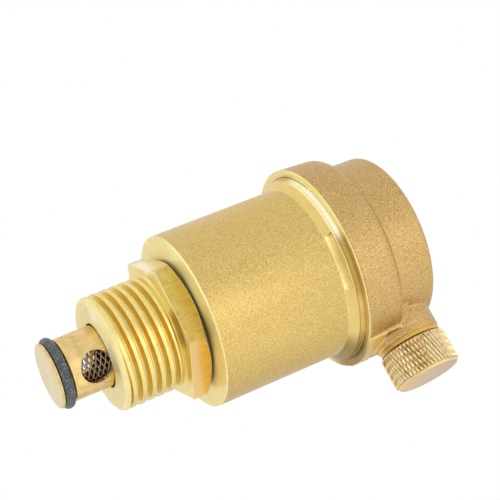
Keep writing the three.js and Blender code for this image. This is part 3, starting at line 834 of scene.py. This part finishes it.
def barrel_outline():
    """(radius, height, finish) from the foot to the rim and back down the bore.

    The collar flares out from the skin, and the bead and the band end it behind the cover's lip.
    """
    edge = COLLAR_R
    step = 0.001
    flare = [
        (0, SKIN_END), (0.03, SKIN_END + 0.05), (0.05, FLAT_FROM), (0.05 + step, FLAT_FROM + step),
        (0.12, 29.25), (0.28, 29.5), (0.55, 29.75), (0.9, 29.95),
        (1.1, FLAT_TO - step), (1.1 + step, FLAT_TO),
    ]
    stretches = {
        "foot": [
            (SPIGOT_R - 0.6, BARREL_FOOT - 1.1), (SPIGOT_R - 0.6, BARREL_FOOT - 0.3),
            (SPIGOT_R - 0.3, BARREL_FOOT), (BARREL_R - 0.26, BARREL_FOOT),
            *arc(BARREL_R - 0.22, BARREL_FOOT + 0.22, 0.22, -75, -15, 3),
        ],
        "blasted": [(BARREL_R, BARREL_FOOT + 0.3)],
        "collar": [(BARREL_R + out, z) for out, z in flare],
        "bead": [(edge - 0.15, 30.16), (edge - 0.04, 30.24), (edge, 30.3), (edge, 30.44)],
        "band": [
            (edge - 0.03, 30.5), (edge - 0.06, 30.55), (edge - 0.06, 30.62), (edge - 0.01, 30.68),
            (edge + 0.04, 30.78), (edge + 0.08, 31.1),
            (LIP_BORE_R - 0.03, 31.24), (LIP_BORE_R - 0.03, 31.8),
        ],
        "bright": [
            (edge + 0.08, 31.9), (edge + 0.08, RIM - 0.4), (edge - 0.3, RIM), (BARREL_BORE_R + 0.2, RIM),
            (BARREL_BORE_R, RIM - 0.2), (BARREL_BORE_R, BARREL_FLOOR + 1),
            (BARREL_BORE_R - 1, BARREL_FLOOR), (SPIGOT_BORE_R, BARREL_FLOOR), (SPIGOT_BORE_R, SPIGOT_END),
        ],
    }
    return [(r, z, BARREL_FINISHES.index(name)) for name, points in stretches.items() for r, z in points]


def barrel():
    """The barrel with its threaded spigot, and the flat milled on its collar."""
    columns = BARREL_COLUMNS
    angles = np.arange(columns) * TAU / columns
    rise = np.linspace(SPIGOT_END, SPIGOT_RUN_OUT, SPIGOT_ROWS)
    height, angle = np.meshgrid(rise, angles, indexing="ij")
    fade = 1 - smooth_step(height, SPIGOT_RUN_OUT - 1.2, SPIGOT_RUN_OUT)
    form = thread_form(height, angle, SPIGOT_PITCH, crest=SPIGOT_CREST_SHARE) * fade
    chamfer = SPIGOT_R - SPIGOT_GROOVE - 0.05 + (height - SPIGOT_END)
    spigot = np.minimum(SPIGOT_R - SPIGOT_GROOVE * (1 - form), chamfer)
    outline = barrel_outline()
    r, z = rows_of([point[:2] for point in outline], columns)
    from_flat = (angles - FLAT_TURN + math.pi) % TAU - math.pi
    flat = FLAT_DISTANCE / np.cos(np.clip(from_flat, -1, 1))
    milled = (z > FLAT_FROM) & (z < FLAT_TO) & (r > BARREL_R) & (np.abs(from_flat) < FLAT_HALF_TURN)
    r = np.where(milled, np.minimum(r, flat), r)
    bright = BARREL_FINISHES.index("bright")
    by_row = [bright] * len(rise) + [point[2] for point in outline]
    marks = np.repeat(np.array(by_row)[:, None], columns, axis=1)
    marks[len(rise):][milled] = BARREL_FINISHES.index("flat")
    obj = grid("barrel", np.vstack([spigot, r]), np.vstack([height, z]), angles, marks=marks)
    return dress(obj, "vent_head", "body_barrel", "blasted_brass", *BARREL_FINISHES)


# ---------------------------------------------------------------- cover

def block(name, low_corner, high_corner):
    """A rectangular block between two corners."""
    corners = [(x, y, z) for x in (0, 1) for y in (0, 1) for z in (0, 1)]
    size = np.subtract(high_corner, low_corner)
    points = np.array(low_corner) + np.array(corners) * size
    faces = [(0, 1, 3, 2), (4, 6, 7, 5), (0, 4, 5, 1), (2, 3, 7, 6), (0, 2, 6, 4), (1, 5, 7, 3)]
    return mesh_object(name, points, faces)


def scribe_crease(obj):
    """Presses a fine line with a raised edge into the casting where the dome leaves the shoulder."""
    for vertex in obj.data.vertices:
        x, y, z = vertex.co / MM
        r = math.hypot(x, y)
        if x < BARREL_BORE_R and DOME_R - 1 < r < DOME_R + 1:
            inward = math.exp(-((z - CREASE - 0.1) / CREASE_WIDTH) ** 2)
            inward -= 0.5 * math.exp(-((z - CREASE + 0.22) / CREASE_WIDTH) ** 2)
            vertex.co.x -= vertex.co.x * inward * CREASE_DEPTH / r
            vertex.co.y -= vertex.co.y * inward * CREASE_DEPTH / r


def cover_shell():
    """The turned form of the cover: lip, skirt, shoulder and dome."""
    return turned("cover_casting", [
        (0, ROOF), (BARREL_BORE_R, ROOF), (BARREL_BORE_R, GASKET_SEAT), (LIP_BORE_R, GASKET_SEAT),
        (LIP_BORE_R, LIP + 0.15), (LIP_R - 0.2, LIP + 0.15), (LIP_R - 0.02, LIP + 0.32),
        (SKIRT_R, SKIRT_TOP),
        *arc(SKIRT_R - 2.15, SKIRT_TOP + 0.1, 2.15, 0, 88, 10), (DOME_R + 0.08, CREASE - 0.05),
        (DOME_R, CREASE + 0.5), (DOME_R - 0.1, COVER_TOP - 1.0),
        *arc(DOME_R - 1.1, COVER_TOP - 1.0, 1.0, 0, 90, 6), (0, COVER_TOP),
    ], closed=False)


def outlet_boss():
    """The cast part of the outlet boss."""
    neck_r = BOSS_R + 0.15
    neck = [(neck_r, BOSS_FROM), (neck_r, BOSS_SKIN_END - 0.5), (BOSS_R + 0.05, BOSS_SKIN_END)]
    return turned("boss", [(0, BOSS_FROM), *neck, (0, BOSS_SKIN_END)], along_outlet, closed=False)


def boss_root():
    """The cone that rounds off the root of the boss, kept between the pad and the outlet's middle."""
    start, end = PAD_FACE - 3.3, PAD_FACE + 0.9
    cone = [(0, start), (ROOT_R, start), (ROOT_R, PAD_FACE), (BOSS_R + 0.15, end), (0, end)]
    root = turned("root", cone, along_outlet, closed=False)
    carve(root, block("above", (0, -BEYOND, OUTLET_Z), (BEYOND, BEYOND, COVER_TOP + BEYOND)))
    carve(root, block("below", (0, -BEYOND, 0), (BEYOND, BEYOND, PAD_TO)))
    return root


def cover_cores():
    """The hollows of the cover: one for the barrel's end and the chamber, and one for the outlet."""
    chamber = turned("hollow", [
        (0, LIP - 1), (LIP_BORE_R, LIP - 1), (LIP_BORE_R, GASKET_SEAT),
        (BARREL_BORE_R, GASKET_SEAT), (BARREL_BORE_R, ROOF), (0, ROOF),
    ], closed=False)
    start, end = 5, BOSS_END + 1
    bore_outline = [(0, start), (BOSS_BORE_R, start), (BOSS_BORE_R, end), (0, end)]
    return chamber, turned("bore", bore_outline, along_outlet, facets=64, closed=False)


def cover_casting():
    """The cast body of the cover, fused on a fine voxel grid that rounds its inner corners.

    The pad and the underside of the boss are skimmed, so they take the pad's finish.
    """
    shell = cover_shell()
    boss = outlet_boss()
    side = PAD_HALF_WIDTH - 0.05
    face_x, foot_z = PAD_FACE - 0.1, PAD_FROM + 0.1
    pad = block("pad", (PAD_ROOT, -side, foot_z), (face_x, side, OUTLET_Z))
    carve(shell, block("skim", (face_x, -side, foot_z), (BEYOND, side, OUTLET_Z)))
    for extra in (boss, pad, boss_root()):
        carve(shell, extra, "UNION")
    for core in cover_cores():
        carve(shell, core)
    modified(shell, "REMESH", mode="VOXEL", voxel_size=SKIN_VOXEL * MM)
    modified(shell, "SMOOTH", factor=0.5, iterations=4)
    scribe_crease(shell)
    for face in shell.data.polygons:
        face.material_index = int(face.center.x / MM > PAD_FACE - 0.15 and face.center.z / MM < PAD_TO)
    return dress(shell, "vent_head", "cover", "cast_brass", "cast", "pad")


def cover_lip():
    """The machined rim of the cover, with a bright chamfer on its bore. Its face carries a painted
    highlight and painted shade, the chamfer a painted shadow and painted shade.
    """
    outline = [
        (LIP_BORE_R + 0.08, LIP), (LIP_R - 0.12, LIP), (LIP_R, LIP + 0.12), (LIP_R, LIP + 0.22),
        (LIP_R - 0.6, LIP + 0.5), (LIP_BORE_R, LIP + 1.0), (LIP_BORE_R - 0.02, LIP + 0.06),
    ]
    obj = turned("cover_lip", outline, marks=[0, 0, 0, 0, 0, 0, 1])
    return dress(obj, "vent_head", "cover", "cast_brass", "lip", "lip_edge")


def boss_end():
    """The machined end of the outlet boss: a ring with fine lines cut in it."""
    edge = BOSS_R + 0.02
    start = BOSS_SKIN_END
    obj = turned("boss_end", [
        (BOSS_BORE_R, BOSS_END), (edge - 0.5, BOSS_END),
        (edge - 0.3, BOSS_END + 0.12), (edge - 0.1, BOSS_END + 0.12),
        (edge - 0.02, BOSS_END + 0.02), (edge - 0.02, start + 0.42),
        (edge - 0.09, start + 0.36), (edge - 0.09, start + 0.3), (edge, start + 0.24),
        (edge, start + 0.14), (edge - 0.1, start + 0.08), (edge - 0.1, start + 0.02),
        (edge + 0.03, start - 0.06), (edge - 0.3, start - 0.2), (BOSS_BORE_R, start - 0.2),
    ], along_outlet)
    return dress(obj, "vent_head", "cover", "cast_brass", "bright_outlet")


def pad_face():
    """The skimmed pad that joins the outlet boss to the lip."""
    high_corner = (PAD_FACE, PAD_HALF_WIDTH, PAD_TO - 0.15)
    obj = block("pad_face", (PAD_ROOT + 1, -PAD_HALF_WIDTH, PAD_FROM), high_corner)
    modified(obj, "BEVEL", width=0.3 * MM, segments=3)
    return dress(obj, "vent_head", "cover", "cast_brass", "pad")


# ---------------------------------------------------------------- cap

def cap():
    """The knurl is cut by two families of slanted V grooves, which leave long diamonds."""
    columns = KNURL_COUNT * KNURL_COLUMNS
    angles = np.arange(columns) * TAU / columns
    rows = np.linspace(CAP_FROM + 0.12, CAP_END - 0.55, KNURL_ROWS)
    height, angle = np.meshgrid(rows, angles, indexing="ij")
    twist = (height - rows[0]) * math.tan(KNURL_SLANT) / CAP_R
    groove = np.zeros_like(height)
    random = np.random.default_rng(KNURL_SEED)
    for hand, least, greatest in KNURL_FAMILIES:
        phase = KNURL_COUNT * (angle + hand * twist) / TAU
        from_crest = np.abs((phase % 1) - 0.5) * 2
        share = random.uniform(least, greatest, KNURL_COUNT)[phase.astype(int) % KNURL_COUNT]
        flank = np.clip((from_crest - KNURL_CREST) / KNURL_FLANK, 0, 1)
        groove = np.maximum(groove, share * flank)
    starts = smooth_step(height, rows[0], rows[0] + 0.3)
    ends = 1 - smooth_step(height, rows[-1] - 0.25, rows[-1])
    skin = CAP_R - np.maximum(KNURL_DEPTH * groove, KNURL_END_DEPTH * (1 - starts * ends))
    chamfer = [(CAP_R - 0.36, CAP_END - 0.45), (CAP_FACE_R + 0.2, CAP_END - 0.14)]
    face = [(CAP_FACE_R, CAP_END - 0.03), (CAP_FACE_R - 0.2, CAP_END)]
    back = [
        (0, CAP_END), (0, CAP_FLOOR), (CAP_BORE_R, CAP_FLOOR), (CAP_BORE_R, CAP_FROM),
        (CAP_FACE_R, CAP_FROM), (CAP_R - 0.4, CAP_FROM + 0.06),
    ]
    r, z = rows_of(chamfer + face + back, columns)
    finishes = ("cap", "cap_face", "cap_edge")
    knurl, front, edge = range(len(finishes))
    marks = [knurl] * len(rows) + [edge] * len(chamfer) + [front] * len(face) + [edge] * len(back)
    obj = grid("knurled_cap", np.vstack([skin, r]), np.vstack([height, z]), angles, along_outlet, marks)
    return dress(obj, "cap", "vent_cap", "knurled_brass", *finishes)


# ---------------------------------------------------------------- carried-over pieces

def dress_cad():
    """Gives the CAD nodes that stay their finishes."""
    looks = {
        "rubber": ("spigot_seal", "cover_gasket", "nozzle_seal", "cap_gasket", "lever_seal"),
        "steel": ("spring_clip", "check_spring", "lever", "lever_pin", "lever_bracket", "bracket_screw",
                  "float_hook"),
        "bright_outlet": ("vent_nozzle",),
        "plastic": ("float",),
    }
    for finish, nodes in looks.items():
        for node in nodes:
            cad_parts[node].material_slots[0].material = FINISHES[finish]


# ---------------------------------------------------------------- studio

VIEW_ROLL = math.radians(21.6)  # the main axis rises to the right in the picture
VIEW_LEAN = math.radians(21.3)  # and leans away from the viewer
VIEW_TURN = math.radians(18.7)  # the outlet turns towards the viewer from the lower right
ORIGIN_IN_VIEW = Vector((-15.753, -14.240, -258.173)) * MM
LENS = 105.8

# Metres, as are the soft box's distance and size
FLOOR_DROP = 0.16
FLOOR_SIZE = 6


def view_axes():
    """The part's axes in the camera's own axes: right, up and towards the viewer."""
    upright = math.cos(VIEW_LEAN)
    rise = Vector((upright * math.cos(VIEW_ROLL), upright * math.sin(VIEW_ROLL), -math.sin(VIEW_LEAN)))
    aside = Vector((math.sin(VIEW_ROLL), -math.cos(VIEW_ROLL), 0))
    nearer = rise.cross(aside) * -1
    outlet = math.cos(VIEW_TURN) * aside + math.sin(VIEW_TURN) * nearer
    return Matrix((outlet, rise.cross(outlet), rise)).transposed()


TO_VIEW = view_axes()
FROM_VIEW = TO_VIEW.transposed()


def make_camera():
    """A camera turned so that it sees the part's axes as view_axes() gives them."""
    data = bpy.data.cameras.new("camera")
    data.lens = LENS
    data.sensor_width = 36
    data.clip_start = 0.01
    data.clip_end = 20
    camera = bpy.data.objects.new("camera", data)
    bpy.context.collection.objects.link(camera)
    camera.matrix_world = Matrix.Translation(FROM_VIEW @ -ORIGIN_IN_VIEW) @ FROM_VIEW.to_4x4()
    bpy.context.scene.camera = camera


def soft_box(name, direction, distance, size, brightness):
    """A square light in a direction from the part, aimed at it; brightness is on the room's scale."""
    centre = (cad_bounds[0] + cad_bounds[1]) / 2
    data = bpy.data.lights.new(name, "AREA")
    data.shape = "SQUARE"
    data.size = size
    data.energy = brightness * math.pi * size * size
    lamp = bpy.data.objects.new(name, data)
    bpy.context.collection.objects.link(lamp)
    lamp.location = centre + direction * distance
    lamp.rotation_euler = direction.to_track_quat("Z", "Y").to_euler()


def make_floor():
    """A plain white floor below the part."""
    bpy.ops.mesh.primitive_plane_add(size=FLOOR_SIZE, location=(0, 0, -FLOOR_DROP))
    floor = bpy.context.object
    floor.name = "floor"
    paint = bpy.data.materials.new("floor_paint")
    paint.use_nodes = True
    surface = paint.node_tree.nodes["Principled BSDF"]
    surface.inputs["Base Color"].default_value = (0.95, 0.95, 0.95, 1)
    surface.inputs["Roughness"].default_value = 0.9
    floor.data.materials.append(paint)


# The room is a white tent: even all round, with one brighter side, one dimmer side and a dark gap.
# Each patch is a direction (azimuth, elevation), the angles where it is full and gone, and what it adds.
ROOM = 0.98
PATCHES = [((-54, 21), 15, 80, 0.27), ((85, 10), 8, 60, -0.20), ((-103, 21), 6, 15, -0.35)]


def make_room():
    """The room lights the part; the camera itself sees plain white behind it."""
    world = bpy.data.worlds.new("world")
    world.use_nodes = True
    bpy.context.scene.world = world
    n = Nodes(world.node_tree)
    direction = n.add("ShaderNodeTexCoord").outputs["Generated"]
    brightness = ROOM
    for middle, full, gone, amount in PATCHES:
        brightness = n.math("ADD", brightness, n.lobe(direction, towards(*middle), full, gone, amount))
    room = n.add("ShaderNodeBackground", {"Color": (1, 1, 1, 1), "Strength": brightness})
    backdrop = n.nodes["Background"]
    backdrop.inputs["Color"].default_value = (1, 1, 1, 1)
    seen = n.add("ShaderNodeLightPath").outputs["Is Camera Ray"]
    mix = n.add("ShaderNodeMixShader", {0: seen, 1: room.outputs[0], 2: backdrop.outputs[0]})
    n.links.new(mix.outputs[0], n.nodes["World Output"].inputs["Surface"])


def make_studio():
    soft_box("key", towards(-68, 21), distance=0.5, size=0.18, brightness=0.6)
    make_floor()
    make_room()
    bpy.context.scene.view_settings.view_transform = "Standard"


make_camera()
make_studio()
fitting_thread()
fitting_hexagon()
plunger()
o_ring()
strainer()
barrel()
cover_casting()
cover_lip()
boss_end()
pad_face()
cap()
dress_cad()
